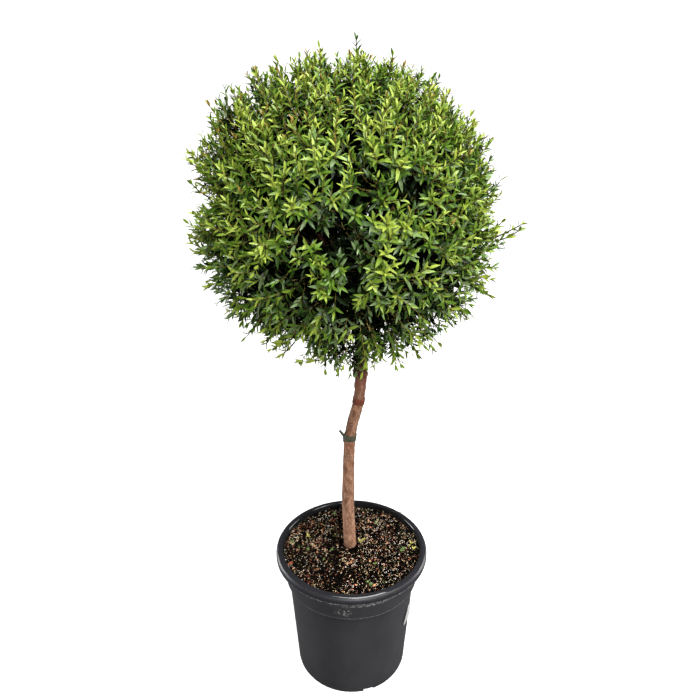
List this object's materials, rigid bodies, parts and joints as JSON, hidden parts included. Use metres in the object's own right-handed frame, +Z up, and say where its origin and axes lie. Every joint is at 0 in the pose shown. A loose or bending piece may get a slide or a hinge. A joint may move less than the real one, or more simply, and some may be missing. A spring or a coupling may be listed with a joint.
{
  "type": "potted standard topiary shrub",
  "caption": "Small-leaved evergreen shrub clipped to a ball on a clear stem, standing in a round nursery pot.",
  "frame": {"origin": "middle of the pot's flat underside", "axes": "+Z up along the pot's axis; the stem leans towards +X, and -Y is the side with the gap in the foliage"},
  "size_m": [0.4308, 0.3956, 0.9658],
  "materials": {
    "pot_plastic": "matt charcoal moulded plastic with a slight sheen on the lip",
    "compost": "damp dark bark compost with tan chips and pale grains",
    "bark": "smooth pinkish tan bark with fine flecks and old scars",
    "limb_bark": "thin red-brown bark",
    "foliage": "small glossy evergreen leaves, yellow-green at the tips",
    "tie": "dark olive soft plastic",
    "band": "weathered red-brown band"
  },
  "bodies": {
    "root": {"pot": "pot_plastic", "compost": "compost", "trunk": "bark", "stem_tie": "tie", "stem_band": "band", "bough_upper_1": "limb_bark", "bough_upper_2": "limb_bark", "bough_upper_3": "limb_bark", "bough_upper_4": "limb_bark", "bough_upper_5": "limb_bark", "bough_lower_1": "limb_bark", "bough_lower_2": "limb_bark", "bough_lower_3": "limb_bark", "bough_lower_4": "limb_bark", "bough_lower_5": "limb_bark", "crown_top": "foliage", "crown_upper_1": "foliage", "crown_upper_2": "foliage", "crown_upper_3": "foliage", "crown_upper_4": "foliage", "crown_upper_5": "foliage", "crown_lower_1": "foliage", "crown_lower_2": "foliage", "crown_lower_3": "foliage", "crown_lower_4": "foliage", "crown_lower_5": "foliage"}
  },
  "joints": []
}
